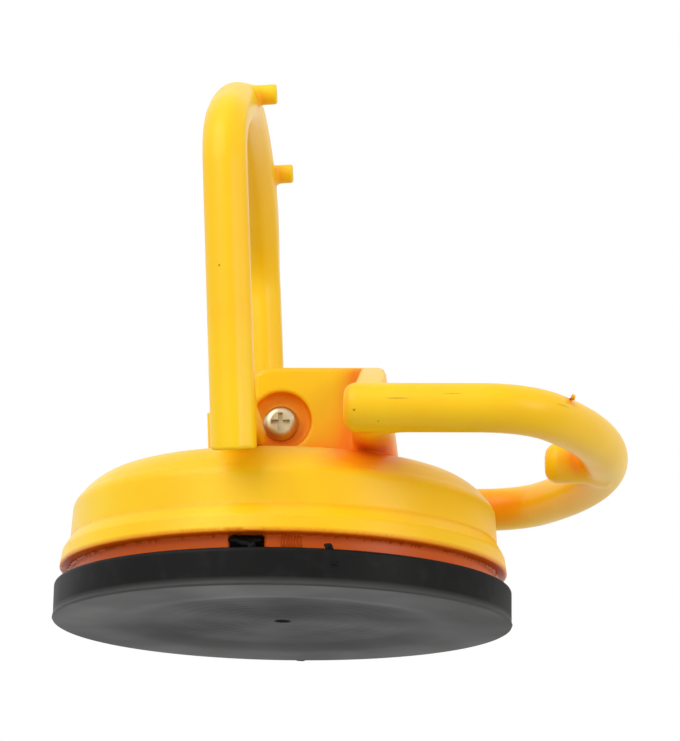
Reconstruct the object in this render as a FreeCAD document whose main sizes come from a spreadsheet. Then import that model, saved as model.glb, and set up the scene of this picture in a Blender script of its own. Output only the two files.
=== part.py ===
import FreeCAD, Part
import math
import os
import Sketcher

# Floor tile suction lifter: a rubber cup under a moulded housing with a fixed ring handle, and a
# ring lever that pulls the cup's backing plate up through a cam when it is pressed down.
# Millimetres, +Z up, +X towards the fixed ring. The origin is the centre of the cup's underside.

sizes = {
    # rubber cup
    "pad_radius": 59.0,
    "pad_height": 9.2,
    "pad_chamfer": 0.8,
    "pad_land": 14.0,
    "pad_hollow": 1.2,
    "pad_slope": 12.0,
    "dimple_radius": 2.2,
    "dimple_depth": 1.0,
    # steel backing plate
    "plate_radius": 36.0,
    "plate_thickness": 2.0,
    "plate_seat": 6.2,
    "plate_gap": 0.3,
    # lifting stud
    "stud_radius": 10.0,
    "stud_foot_radius": 13.0,
    "stud_foot_height": 2.0,
    "stud_spigot_radius": 4.0,
    "stud_drop": 18.5,
    "stud_guide_gap": 0.1,
    "tongue_width": 12.0,
    "tongue_radius": 5.0,
    "link_radius": 2.0,
    "link_length": 23.4,
    "link_chamfer": 0.4,
    "link_fit": 0.02,
    # housing: pressing ring, flange and dome
    "press_radius": 54.5,
    "press_inner": 44.0,
    "press_height": 3.8,
    "flange_radius": 57.6,
    "crease_radius": 55.7,
    "crease_height": 19.0,
    "waist_radius": 54.6,
    "waist_height": 27.6,
    "shoulder_radius": 46.4,
    "shoulder_drop": 12.0,
    "shoulder_round": 10.4,
    "crown_rise": 2.4,
    "shell_wall": 3.6,
    "sleeve_wall": 4.0,
    "sleeve_length": 10.5,
    "notch_middle": -5.0,
    "notch_width": 8.4,
    "notch_depth": 4.0,
    # tower
    "pivot_height": 48.5,
    "pivot_hole_gap": 0.1,
    "tower_half_width": 22.0,
    "tower_left": -7.0,
    "tower_rise": 14.4,
    "tower_right": 28.9,
    "tower_bevel_width": 3.0,
    "tower_bevel_height": 4.3,
    "slot_half_width": 12.5,
    "slot_reach": 18.3,
    "wall_left": 19.2,
    "wall_inset": 0.9,
    "wall_sink": 3.2,
    # fixed ring handle
    "ring_drop": 5.55,
    "ring_bar_radius": 5.91,
    "ring_half_width": 59.2,
    "ring_back": 23.6,
    "ring_corner": 20.0,
    "ring_bend_start": 50.54,
    "ring_end_reach": 32.2,
    "ring_end_round": 20.6,
    "nub_tip": 67.3,
    "nub_radius": 5.3,
    "nub_round": 3.5,
    # ring lever, in its own lying position, from the pivot
    "lever_lean": 3.15,
    "lever_throw": 91.0,
    "lever_bar_radius": 5.8,
    "lever_level": 8.7,
    "lever_bend_start": 55.5,
    "lever_end_reach": 32.5,
    "lever_corner": 20.0,
    "yoke_place": -3.0,
    "bridge_gap": 0.3,
    "bridge_thickness": 3.5,
    "bridge_half_length": 5.4,
    "bridge_overlap": 4.0,
    "cheek_gap": 0.8,
    "hub_gap": 0.5,
    "hub_inner": 7.0,
    "hub_radius": 9.4,
    "hub_web": 7.0,
    "cam_open": 13.0,
    "cam_lift": 4.0,
    "cam_gap": 0.25,
    "cam_wall": 2.1,
    "peg_radius": 2.6,
    "peg_length": 5.7,
    "peg_spacing": 63.0,
    "peg_place": 84.5,
    # pivot screw and nut
    "screw_radius": 2.5,
    "head_radius": 4.5,
    "head_height": 2.9,
    "head_round": 2.2,
    "head_recess_radius": 7.0,
    "head_recess_depth": 3.0,
    "cross_reach": 2.4,
    "cross_width": 1.1,
    "cross_depth": 1.5,
    "nut_flats": 8.0,
    "nut_height": 4.0,
    "nut_gap": 0.1,
    "nut_recess_depth": 4.3,
    "thread_fit": 0.02,
}


class Size:
    # A number together with the expression of sheet cells that gives it.

    def __init__(self, value, text):
        self.value = value
        self.text = text

    def __add__(self, other):
        other = as_size(other)
        return Size(self.value + other.value, f"({self.text} + {other.text})")

    def __sub__(self, other):
        other = as_size(other)
        return Size(self.value - other.value, f"({self.text} - {other.text})")

    def __mul__(self, other):
        other = as_size(other)
        return Size(self.value * other.value, f"({self.text} * {other.text})")

    def __truediv__(self, other):
        other = as_size(other)
        return Size(self.value / other.value, f"({self.text} / {other.text})")

    def __neg__(self):
        return Size(-self.value, f"(0 - {self.text})")

    def __radd__(self, other):
        return as_size(other) + self

    def __rsub__(self, other):
        return as_size(other) - self

    def __rmul__(self, other):
        return as_size(other) * self


def as_size(number):
    if isinstance(number, Size):
        return number
    return Size(float(number), repr(float(number)))


def sine(degrees):
    return Size(math.sin(math.radians(degrees.value)), f"sin({degrees.text} * 1 deg)")


def cosine(degrees):
    return Size(math.cos(math.radians(degrees.value)), f"cos({degrees.text} * 1 deg)")


def root(number):
    return Size(math.sqrt(number.value), f"sqrt({number.text})")


doc = FreeCAD.newDocument("SuctionLifter")
sheet = doc.addObject("Spreadsheet::Sheet", "sheet")
for row, (alias, number) in enumerate(sizes.items(), start=1):
    sheet.set(f"A{row}", alias)
    sheet.set(f"B{row}", str(number))
    sheet.setAlias(f"B{row}", alias)
doc.recompute()


class Cells:
    # The sheet's cells as sizes, one attribute for each alias.

    def __getattr__(self, alias):
        return Size(float(sheet.get(alias)), f"sheet.{alias}")


cell = Cells()


# Sketches and features

def new_body(label):
    body = doc.addObject("PartDesign::Body", label)
    body.Label = label
    return body


def origin_part(body, role):
    return next(item for item in body.Origin.OriginFeatures if item.Role == role)


def new_sketch(body, role, name, offset=None):
    sketch = body.newObject("Sketcher::SketchObject", name)
    sketch.AttachmentSupport = [(origin_part(body, role), "")]
    sketch.MapMode = "FlatFace"
    if offset is not None:
        sketch.setExpression("AttachmentOffset.Base.z", offset.text)
    return sketch


def place_point(sketch, item, end, point):
    # Ties a point to the sketch's origin along both axes.
    for kind, number, axis in (("DistanceX", point[0], -2), ("DistanceY", point[1], -1)):
        number = as_size(number)
        if abs(number.value) < 1e-9:
            sketch.addConstraint(Sketcher.Constraint("PointOnObject", item, end, axis))
        else:
            index = sketch.addConstraint(Sketcher.Constraint(kind, -1, 1, item, end, number.value))
            sketch.setExpression(f"Constraints[{index}]", number.text)


def bind_constraint(sketch, constraint, number):
    index = sketch.addConstraint(constraint)
    sketch.setExpression(f"Constraints[{index}]", number.text)


def vector_of(point):
    return FreeCAD.Vector(as_size(point[0]).value, as_size(point[1]).value, 0)


def add_arc(sketch, first, last, radius, side):
    # A circular arc shorter than half a turn; side is 1 when its centre lies left of the way
    # from first to last. Returns the item and the numbers of its two ends in that order.
    start = vector_of(first)
    stop = vector_of(last)
    chord = stop - start
    left = FreeCAD.Vector(-chord.y, chord.x, 0).normalize()
    height = math.sqrt(max(radius.value ** 2 - (chord.Length / 2) ** 2, 0))
    centre = (start + stop) / 2 + left * (side * height)
    ways = (start - centre, stop - centre)
    angles = [math.atan2(way.y, way.x) for way in ways]
    if side < 0:
        angles.reverse()
    if angles[1] < angles[0]:
        angles[1] += 2 * math.pi
    circle = Part.Circle(centre, FreeCAD.Vector(0, 0, 1), radius.value)
    item = sketch.addGeometry(Part.ArcOfCircle(circle, angles[0], angles[1]), False)
    return item, (1, 2) if side > 0 else (2, 1)


def draw_path(sketch, points, arcs=None, closed=True):
    # Lines through the points. arcs gives (radius, side) for each side of the path that is an
    # arc, by the number of its first point.
    arcs = arcs or {}
    sides = len(points) if closed else len(points) - 1
    ends = []
    for number in range(sides):
        first = points[number]
        last = points[(number + 1) % len(points)]
        if number in arcs:
            radius, side = arcs[number]
            item, order = add_arc(sketch, first, last, radius, side)
        else:
            item = sketch.addGeometry(Part.LineSegment(vector_of(first), vector_of(last)), False)
            order = (1, 2)
        ends.append((item, order[0], order[1]))
    for number, (item, start, stop) in enumerate(ends):
        place_point(sketch, item, start, points[number])
        if number + 1 < len(ends):
            after = ends[number + 1]
            sketch.addConstraint(Sketcher.Constraint("Coincident", item, stop, after[0], after[1]))
        elif closed:
            sketch.addConstraint(
                Sketcher.Constraint("Coincident", item, stop, ends[0][0], ends[0][1]))
        else:
            place_point(sketch, item, stop, points[-1])
        if number in arcs:
            bind_constraint(sketch, Sketcher.Constraint("Radius", item, arcs[number][0].value),
                            arcs[number][0])
    return ends


def draw_circle(sketch, centre, radius):
    circle = Part.Circle(vector_of(centre), FreeCAD.Vector(0, 0, 1), radius.value)
    item = sketch.addGeometry(circle, False)
    place_point(sketch, item, 3, centre)
    bind_constraint(sketch, Sketcher.Constraint("Radius", item, radius.value), radius)


def draw_rectangle(sketch, low, high):
    draw_path(sketch, [low, (high[0], low[1]), high, (low[0], high[1])])


def draw_ring(sketch, back, corner, bend_start, reach):
    # A closed ring: a straight back with rounded corners, straight sides, and an end bent in
    # three arcs that run into each other, two of them alike.
    half = cell.ring_half_width
    side = cell.ring_end_round
    inner = half - corner
    turn = back + corner
    middle = (reach * reach + half * half - 2 * half * side) / (2 * (reach - side))
    share = side / (middle - side)
    joint_x = bend_start + share * (middle - reach)
    joint_y = (half - side) * (1 + share)
    draw_path(sketch, [
        (back, 0),
        (back, inner),
        (turn, half),
        (bend_start, half),
        (joint_x, joint_y),
        (joint_x, -joint_y),
        (bend_start, -half),
        (turn, -half),
        (back, -inner),
    ], {1: (corner, -1), 3: (side, -1), 4: (middle, -1), 5: (side, -1), 7: (corner, -1)})


def finish_feature(body, feature, bigger):
    # Recomputes and makes sure that the feature adds to the body, or cuts it.
    before = 0.0
    if getattr(feature, "BaseFeature", None) is not None:
        before = feature.BaseFeature.Shape.Volume
    doc.recompute()
    after = feature.Shape.Volume
    assert (after > before + 1e-3) if bigger else (after < before - 1e-3), feature.Name
    body.Tip = feature
    return feature


def add_revolution(body, sketch, name, axis="V_Axis"):
    feature = body.newObject("PartDesign::Revolution", name)
    feature.Profile = sketch
    feature.ReferenceAxis = (sketch, [axis])
    feature.Angle = 360
    return finish_feature(body, feature, True)


def extrude(body, kind, sketch, name, length, middle, reverse):
    feature = body.newObject(f"PartDesign::{kind}", name)
    feature.Profile = sketch
    feature.setExpression("Length", as_size(length).text)
    feature.SideType = "Symmetric" if middle else "One side"
    feature.Reversed = reverse
    return finish_feature(body, feature, kind == "Pad")


def add_pad(body, sketch, name, length, middle=False, reverse=False):
    return extrude(body, "Pad", sketch, name, length, middle, reverse)


def add_pocket(body, sketch, name, length, middle=False, reverse=False):
    return extrude(body, "Pocket", sketch, name, length, middle, reverse)


def add_pipe(body, profile, spine, name):
    feature = body.newObject("PartDesign::AdditivePipe", name)
    feature.Profile = profile
    feature.Spine = spine
    return finish_feature(body, feature, True)


def add_chamfer(body, base, edges, name, size):
    feature = body.newObject("PartDesign::Chamfer", name)
    feature.Base = (base, edges)
    feature.setExpression("Size", size.text)
    return finish_feature(body, feature, False)


def edges_where(feature, test):
    return [f"Edge{number}" for number, edge in enumerate(feature.Shape.Edges, start=1)
            if test(edge)]


def is_round(edge):
    return isinstance(edge.Curve, Part.Circle)


# Shared places

press_top = cell.pad_height + cell.press_height
plate_top = cell.plate_seat + cell.plate_thickness
link_place = cell.pivot_height - cell.cam_open
stud_shoulder = cell.pivot_height - cell.stud_drop
bore_radius = cell.stud_radius + cell.stud_guide_gap
slot_floor = stud_shoulder + cell.hub_gap
tower_top = cell.pivot_height + cell.tower_rise
shoulder_height = cell.pivot_height - cell.shoulder_drop
dome_top = shoulder_height + cell.crown_rise
ring_height = cell.pivot_height - cell.ring_drop
pivot_bore = cell.screw_radius + cell.pivot_hole_gap
head_seat = cell.tower_half_width - cell.head_recess_depth
nut_seat = cell.tower_half_width - cell.nut_recess_depth


# Rubber cup

def make_cup_pad():
    body = new_body("cup_pad")
    rim = cell.pad_radius - cell.pad_land
    hollow_edge = rim - cell.pad_slope
    dimple_top = cell.pad_hollow + cell.dimple_depth
    pocket = cell.plate_radius + cell.plate_gap
    sketch = new_sketch(body, "XZ_Plane", "cup_section")
    draw_path(sketch, [
        (0, dimple_top),
        (cell.dimple_radius * 0.5, dimple_top),
        (cell.dimple_radius, cell.pad_hollow),
        (hollow_edge, cell.pad_hollow),
        (rim, 0),
        (cell.pad_radius, 0),
        (cell.pad_radius, cell.pad_height - cell.pad_chamfer),
        (cell.pad_radius - cell.pad_chamfer, cell.pad_height),
        (pocket, cell.pad_height),
        (pocket, cell.plate_seat),
        (0, cell.plate_seat),
    ])
    add_revolution(body, sketch, "cup_body")
    return body


# Backing plate, stud and link pin

def make_backing_plate():
    body = new_body("backing_plate")
    sketch = new_sketch(body, "XY_Plane", "plate_disc", cell.plate_seat)
    draw_circle(sketch, (0, 0), cell.plate_radius)
    draw_circle(sketch, (0, 0), cell.stud_spigot_radius)
    add_pad(body, sketch, "plate_blank", cell.plate_thickness)
    return body


def make_lift_stud():
    body = new_body("lift_stud")
    foot_top = plate_top + cell.stud_foot_height
    sketch = new_sketch(body, "XZ_Plane", "stud_section")
    draw_path(sketch, [
        (0, cell.plate_seat),
        (cell.stud_spigot_radius, cell.plate_seat),
        (cell.stud_spigot_radius, plate_top),
        (cell.stud_foot_radius, plate_top),
        (cell.stud_foot_radius, foot_top),
        (cell.stud_radius, foot_top),
        (cell.stud_radius, stud_shoulder),
        (0, stud_shoulder),
    ])
    add_revolution(body, sketch, "stud_turned")
    tongue = new_sketch(body, "XZ_Plane", "tongue_outline")
    edge = cell.tongue_radius
    foot = stud_shoulder - cell.stud_foot_height
    draw_path(tongue, [
        (-edge, foot),
        (edge, foot),
        (edge, link_place),
        (0, link_place + edge),
        (-edge, link_place),
    ], {2: (edge, 1), 3: (edge, 1)})
    add_pad(body, tongue, "tongue", cell.tongue_width, middle=True)
    hole = new_sketch(body, "XZ_Plane", "link_hole_outline")
    draw_circle(hole, (0, link_place), cell.link_radius + cell.link_fit)
    add_pocket(body, hole, "link_hole", 2 * cell.tongue_width, middle=True)
    return body


def make_link_pin():
    body = new_body("link_pin")
    sketch = new_sketch(body, "XZ_Plane", "pin_outline")
    draw_circle(sketch, (0, link_place), cell.link_radius)
    pin = add_pad(body, sketch, "pin", cell.link_length, middle=True)
    add_chamfer(body, pin, edges_where(pin, is_round), "pin_ends", cell.link_chamfer)
    return body


# Housing with the tower and the fixed ring

def add_dome(body):
    wall = cell.shell_wall
    sleeve_radius = bore_radius + cell.sleeve_wall
    sleeve_foot = slot_floor - cell.sleeve_length
    ceiling = shoulder_height - wall
    hall = cell.waist_radius - wall
    inner_round = cell.shoulder_round - wall
    sketch = new_sketch(body, "XZ_Plane", "dome_section")
    draw_path(sketch, [
        (bore_radius, sleeve_foot),
        (sleeve_radius, sleeve_foot),
        (sleeve_radius, ceiling),
        (hall - inner_round, ceiling),
        (hall, ceiling - inner_round),
        (hall, press_top),
        (cell.press_inner, press_top),
        (cell.press_inner, cell.pad_height),
        (cell.press_radius, cell.pad_height),
        (cell.press_radius, press_top),
        (cell.flange_radius, press_top),
        (cell.crease_radius, cell.crease_height),
        (cell.waist_radius, cell.waist_height),
        (cell.shoulder_radius, shoulder_height),
        (bore_radius, dome_top),
    ], {3: (inner_round, -1), 12: (cell.shoulder_round, 1)})
    add_revolution(body, sketch, "dome")


def add_tower(body):
    foot = shoulder_height - cell.shell_wall / 2
    left = cell.tower_left
    corner = cell.pivot_height + root(cell.tower_rise * cell.tower_rise - left * left)
    sketch = new_sketch(body, "XZ_Plane", "tower_outline")
    draw_path(sketch, [
        (left, foot),
        (cell.tower_right, foot),
        (cell.tower_right, tower_top - cell.tower_bevel_height),
        (cell.tower_right - cell.tower_bevel_width, tower_top),
        (0, tower_top),
        (left, corner),
    ], {4: (cell.tower_rise, 1)})
    add_pad(body, sketch, "tower", 2 * cell.tower_half_width, middle=True)


def add_wall(body):
    # The cross wall that carries the ring's back: its ends follow the ring's corners, and its
    # top falls from the tower to the ring on both sides.
    left = cell.wall_left
    right = cell.tower_right
    inner = cell.ring_half_width - cell.ring_corner
    turn = cell.ring_back + cell.ring_corner
    bend = cell.ring_corner + cell.ring_bar_radius - cell.wall_inset
    near = inner + root(bend * bend - (turn - left) * (turn - left))
    far = inner + root(bend * bend - (turn - right) * (turn - right))
    foot = shoulder_height - cell.wall_sink
    plan = new_sketch(body, "XY_Plane", "wall_plan", foot)
    draw_path(plan, [
        (left, -near),
        (right, -far),
        (right, far),
        (left, near),
    ], {0: (bend, 1), 2: (bend, 1)})
    add_pad(body, plan, "wall", tower_top - foot)
    above = tower_top + 1
    edge = cell.ring_half_width + cell.ring_bar_radius
    low = ring_height + cell.ring_bar_radius
    slopes = new_sketch(body, "YZ_Plane", "wall_slopes", left - 1)
    for side in (1, -1):
        draw_path(slopes, [
            (side * cell.tower_half_width, tower_top),
            (side * cell.ring_half_width, low),
            (side * edge, low),
            (side * edge, above),
            (side * cell.tower_half_width, above),
        ])
    add_pocket(body, slopes, "wall_slope", right - left + 2, reverse=True)


def add_fixed_ring(body):
    path = new_sketch(body, "XY_Plane", "ring_path", ring_height)
    draw_ring(path, cell.ring_back, cell.ring_corner, cell.ring_bend_start, cell.ring_end_reach)
    section = new_sketch(body, "XZ_Plane", "ring_section")
    draw_circle(section, (cell.ring_back, ring_height), cell.ring_bar_radius)
    add_pipe(body, section, path, "fixed_ring")
    nub = new_sketch(body, "XZ_Plane", "nub_section")
    tip = cell.nub_tip
    inside = cell.ring_bend_start + cell.ring_end_reach
    top = ring_height + cell.nub_radius
    draw_path(nub, [
        (tip, ring_height),
        (inside, ring_height),
        (inside, top),
        (tip + cell.nub_round, top),
        (tip, top - cell.nub_round),
    ], {3: (cell.nub_round, 1)})
    feature = body.newObject("PartDesign::Revolution", "finger_nub")
    feature.Profile = nub
    feature.ReferenceAxis = (nub, ["Edge1"])
    feature.Angle = 360
    finish_feature(body, feature, True)


def cut_tower(body):
    slot = new_sketch(body, "XZ_Plane", "slot_outline")
    draw_rectangle(slot, (-cell.slot_reach, slot_floor), (cell.slot_reach, tower_top + 1))
    add_pocket(body, slot, "slot", 2 * cell.slot_half_width, middle=True)
    centre = (0, cell.pivot_height)
    hole = new_sketch(body, "XZ_Plane", "pivot_hole_outline")
    draw_circle(hole, centre, pivot_bore)
    add_pocket(body, hole, "pivot_hole", 3 * cell.tower_half_width, middle=True)
    recess = new_sketch(body, "XZ_Plane", "head_recess_outline", head_seat)
    draw_circle(recess, centre, cell.head_recess_radius)
    add_pocket(body, recess, "head_recess", cell.head_recess_depth + 1, reverse=True)
    hexagon = new_sketch(body, "XZ_Plane", "nut_recess_outline", -nut_seat)
    draw_path(hexagon, hexagon_points(cell.nut_flats + 2 * cell.nut_gap, cell.pivot_height))
    add_pocket(body, hexagon, "nut_recess", cell.nut_recess_depth + 1)


def hexagon_points(flats, height):
    # Corners left and right, flats above and below.
    reach = flats / math.sqrt(3)
    half = reach / 2
    rise = flats / 2
    return [(reach, height), (half, height + rise), (-half, height + rise),
            (-reach, height), (-half, height - rise), (half, height - rise)]


def cut_notch(body):
    left = cell.notch_middle - cell.notch_width / 2
    right = cell.notch_middle + cell.notch_width / 2
    notch = new_sketch(body, "XZ_Plane", "notch_outline", cell.press_radius - cell.notch_depth)
    draw_rectangle(notch, (left, cell.pad_height - 1), (right, press_top))
    add_pocket(body, notch, "notch", 2 * cell.notch_depth, reverse=True)


def make_housing():
    body = new_body("housing")
    add_dome(body)
    add_tower(body)
    add_wall(body)
    add_fixed_ring(body)
    cut_tower(body)
    cut_notch(body)
    return body


# Lever

def cam_arc():
    # The cam's centreline is one arc through three points of the lift curve, along which the
    # link's distance from the pivot falls evenly with the lever's turn.
    points = []
    for share in (0.0, 0.5, 1.0):
        turn = 90 + cell.lever_lean - share * cell.lever_throw
        reach = cell.cam_open - share * cell.cam_lift
        points.append((-reach * sine(turn), -reach * cosine(turn)))
    (ax, az), (bx, bz), (cx, cz) = points
    aa = ax * ax + az * az
    bb = bx * bx + bz * bz
    cc = cx * cx + cz * cz
    twice = 2 * (ax * (bz - cz) + bx * (cz - az) + cx * (az - bz))
    centre = ((aa * (bz - cz) + bb * (cz - az) + cc * (az - bz)) / twice,
              (aa * (cx - bx) + bb * (ax - cx) + cc * (bx - ax)) / twice)
    radius = root((ax - centre[0]) * (ax - centre[0]) + (az - centre[1]) * (az - centre[1]))
    return points[0], points[2], centre, radius


def draw_curved_slot(sketch, half):
    # A slot of the given half width round the cam's centreline.
    first, last, centre, radius = cam_arc()
    corners = []
    for point in (first, last):
        way = ((point[0] - centre[0]) / radius, (point[1] - centre[1]) / radius)
        outer = (point[0] + half * way[0], point[1] + half * way[1])
        inner = (point[0] - half * way[0], point[1] - half * way[1])
        past = (way[1], -way[0]) if point is first else (-way[1], way[0])
        tip = (point[0] + half * past[0], point[1] + half * past[1])
        corners.append((outer, inner, tip))
    (start_out, start_in, start_tip), (stop_out, stop_in, stop_tip) = corners
    draw_path(sketch, [start_out, stop_out, stop_tip, stop_in, start_in, start_tip],
              {0: (radius + half, 1), 1: (half, 1), 2: (half, 1),
               3: (radius - half, -1), 4: (half, 1), 5: (half, 1)})


def add_lever_ring(body):
    path = new_sketch(body, "XY_Plane", "lever_path", cell.lever_level)
    draw_ring(path, cell.yoke_place, cell.lever_corner, cell.lever_bend_start,
              cell.lever_end_reach)
    section = new_sketch(body, "XZ_Plane", "lever_section")
    draw_circle(section, (cell.yoke_place, cell.lever_level), cell.lever_bar_radius)
    add_pipe(body, section, path, "lever_ring")


def add_bridge(body):
    # The yoke is cut away for the tower and bridged behind it, on two shoulders.
    under = cell.tower_rise + cell.bridge_gap
    over = under + cell.bridge_thickness
    left = cell.yoke_place - cell.bridge_half_length
    right = cell.yoke_place + cell.bridge_half_length
    opening = cell.tower_half_width + cell.cheek_gap
    plate = new_sketch(body, "XZ_Plane", "bridge_outline")
    draw_rectangle(plate, (left, cell.lever_level), (right, over))
    add_pad(body, plate, "bridge", 2 * (opening + cell.bridge_overlap), middle=True)
    gap = new_sketch(body, "XZ_Plane", "cheek_gap_outline")
    draw_rectangle(gap, (left - 1, 0), (right + 1, under))
    add_pocket(body, gap, "cheek_gap", 2 * opening, middle=True)
    return under


def add_hub(body, under):
    hub_half = cell.slot_half_width - cell.hub_gap
    left = cell.yoke_place - cell.bridge_half_length
    right = cell.yoke_place + cell.bridge_half_length
    neck = new_sketch(body, "XZ_Plane", "neck_outline")
    draw_rectangle(neck, (left, 0), (right, under + cell.bridge_thickness / 2))
    add_pad(body, neck, "neck", 2 * hub_half, middle=True)
    disc = new_sketch(body, "XZ_Plane", "hub_outline")
    draw_circle(disc, (0, 0), cell.hub_radius)
    add_pad(body, disc, "hub", 2 * hub_half, middle=True)
    lobe = new_sketch(body, "XZ_Plane", "cam_lobe_outline")
    draw_curved_slot(lobe, cell.link_radius + cell.cam_gap + cell.cam_wall)
    add_pad(body, lobe, "cam_lobe", 2 * hub_half, middle=True)
    track = new_sketch(body, "XZ_Plane", "cam_track_outline")
    draw_curved_slot(track, cell.link_radius + cell.cam_gap)
    add_pocket(body, track, "cam_track", 3 * hub_half, middle=True)
    fork = new_sketch(body, "XZ_Plane", "fork_outline")
    draw_rectangle(fork, (-cell.slot_reach, -cell.slot_reach), (cell.slot_reach, cell.hub_web))
    add_pocket(body, fork, "fork", 2 * cell.hub_inner, middle=True)
    bore = new_sketch(body, "XZ_Plane", "hub_bore_outline")
    draw_circle(bore, (0, 0), pivot_bore)
    add_pocket(body, bore, "hub_bore", 3 * hub_half, middle=True)


def add_pegs(body):
    tip = cell.lever_level - cell.lever_bar_radius - cell.peg_length
    pegs = new_sketch(body, "XY_Plane", "peg_outline", tip)
    for side in (1, -1):
        draw_circle(pegs, (cell.peg_place, side * cell.peg_spacing / 2), cell.peg_radius)
    add_pad(body, pegs, "pegs", cell.lever_bar_radius + cell.peg_length)


def make_lever():
    body = new_body("lever")
    add_lever_ring(body)
    under = add_bridge(body)
    add_hub(body, under)
    add_pegs(body)
    turn = FreeCAD.Rotation(FreeCAD.Vector(0, 1, 0), -90 - cell.lever_lean.value)
    body.Placement = FreeCAD.Placement(FreeCAD.Vector(0, 0, 0), turn)
    body.setExpression("Placement.Base.z", cell.pivot_height.text)
    return body


# Pivot screw and nut, each built along its own axis and turned into the cheek

def make_pivot_screw():
    body = new_body("pivot_screw")
    length = head_seat + nut_seat + cell.nut_height
    sketch = new_sketch(body, "XZ_Plane", "screw_section")
    draw_path(sketch, [
        (0, -length),
        (cell.screw_radius, -length),
        (cell.screw_radius, 0),
        (cell.head_radius, 0),
        (cell.head_radius, cell.head_height - cell.head_round),
        (cell.head_radius - cell.head_round, cell.head_height),
        (0, cell.head_height),
    ], {4: (cell.head_round, 1)})
    add_revolution(body, sketch, "screw_turned")
    arm = cell.cross_reach
    half = cell.cross_width / 2
    cross = new_sketch(body, "XY_Plane", "cross_outline", cell.head_height)
    draw_path(cross, [
        (arm, -half), (arm, half), (half, half), (half, arm),
        (-half, arm), (-half, half), (-arm, half), (-arm, -half),
        (-half, -half), (-half, -arm), (half, -arm), (half, -half),
    ])
    add_pocket(body, cross, "cross_recess", cell.cross_depth)
    body.Placement = FreeCAD.Placement(
        FreeCAD.Vector(0, 0, 0), FreeCAD.Rotation(FreeCAD.Vector(1, 0, 0), 90))
    body.setExpression("Placement.Base.y", (-head_seat).text)
    body.setExpression("Placement.Base.z", cell.pivot_height.text)
    return body


def make_pivot_nut():
    body = new_body("pivot_nut")
    sketch = new_sketch(body, "XY_Plane", "nut_outline")
    draw_path(sketch, hexagon_points(cell.nut_flats, as_size(0)))
    draw_circle(sketch, (0, 0), cell.screw_radius + cell.thread_fit)
    add_pad(body, sketch, "nut_blank", cell.nut_height)
    body.Placement = FreeCAD.Placement(
        FreeCAD.Vector(0, 0, 0), FreeCAD.Rotation(FreeCAD.Vector(1, 0, 0), -90))
    body.setExpression("Placement.Base.y", nut_seat.text)
    body.setExpression("Placement.Base.z", cell.pivot_height.text)
    return body


bodies = [
    make_cup_pad(),
    make_backing_plate(),
    make_lift_stud(),
    make_link_pin(),
    make_housing(),
    make_lever(),
    make_pivot_screw(),
    make_pivot_nut(),
]

doc.recompute()
for item in doc.Objects:
    assert "Invalid" not in item.State and "Error" not in item.State, (item.Name, item.State)
os.makedirs("parts", exist_ok=True)
for body in bodies:
    shape = body.Shape
    assert not shape.isNull() and shape.isValid(), body.Label
    assert len(shape.Solids) == 1, body.Label
    box = shape.BoundBox
    print(f"{body.Label:14s} {shape.Volume:10.1f} mm3  x {box.XMin:7.2f} {box.XMax:7.2f}"
          f"  y {box.YMin:7.2f} {box.YMax:7.2f}  z {box.ZMin:7.2f} {box.ZMax:7.2f}")
    shape.exportStep(f"parts/{body.Label}.step")
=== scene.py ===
import math

import bmesh
import bpy
import numpy as np
from mathutils import Matrix, Vector


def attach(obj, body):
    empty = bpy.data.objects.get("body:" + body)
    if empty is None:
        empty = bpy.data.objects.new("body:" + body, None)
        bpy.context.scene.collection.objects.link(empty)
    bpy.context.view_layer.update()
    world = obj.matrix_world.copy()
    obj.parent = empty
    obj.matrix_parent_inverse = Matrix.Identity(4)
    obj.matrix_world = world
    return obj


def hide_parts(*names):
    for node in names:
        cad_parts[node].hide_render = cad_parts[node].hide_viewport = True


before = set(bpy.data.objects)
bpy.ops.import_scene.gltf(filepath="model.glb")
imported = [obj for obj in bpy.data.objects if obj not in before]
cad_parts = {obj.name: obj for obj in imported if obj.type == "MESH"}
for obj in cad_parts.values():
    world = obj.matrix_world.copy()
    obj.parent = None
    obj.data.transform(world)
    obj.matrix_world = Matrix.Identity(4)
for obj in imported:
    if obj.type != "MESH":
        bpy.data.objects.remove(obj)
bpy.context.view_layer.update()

mm = 0.001


# Shapes are worked out as distances in millimetres, negative inside, and wrapped in a mesh.

def softJoin(a, b, blend):
    # the smaller of two distances, with a fillet where they are nearly alike
    near = np.maximum(blend - np.abs(a - b), 0.0) / blend
    return np.minimum(a, b) - near * near * blend * 0.25


def softMeet(a, b, blend):
    # what two shapes share, with a rounded edge
    return -softJoin(-a, -b, blend)


def softCut(a, b, blend):
    # the first shape without the second, with a rounded edge
    return -softJoin(-a, b, blend)


def boxDistance(u, v, low, high):
    # a rectangle's distance: how far past the nearer of its sides, on each axis
    past = np.maximum(low[0] - u, u - high[0])
    other = np.maximum(low[1] - v, v - high[1])
    return np.maximum(past, other)


def outlineDistance(u, v, corners):
    # nearest of the outline's straight sides; each side crossed on the way out flips the sign
    best = 1e9
    sign = 1.0
    for (u0, v0), (u1, v1) in zip(corners, corners[1:] + corners[:1]):
        alongU, alongV = u1 - u0, v1 - v0
        fromU, fromV = u - u0, v - v0
        share = (fromU * alongU + fromV * alongV) / (alongU ** 2 + alongV ** 2)
        share = np.clip(share, 0.0, 1.0)
        best = np.minimum(best, (fromU - alongU * share) ** 2 + (fromV - alongV * share) ** 2)
        above = v >= v0
        below = v < v1
        left = alongU * fromV > alongV * fromU
        sign = np.where((above & below & left) | (~above & ~below & ~left), -sign, sign)
    return sign * np.sqrt(best)


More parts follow.
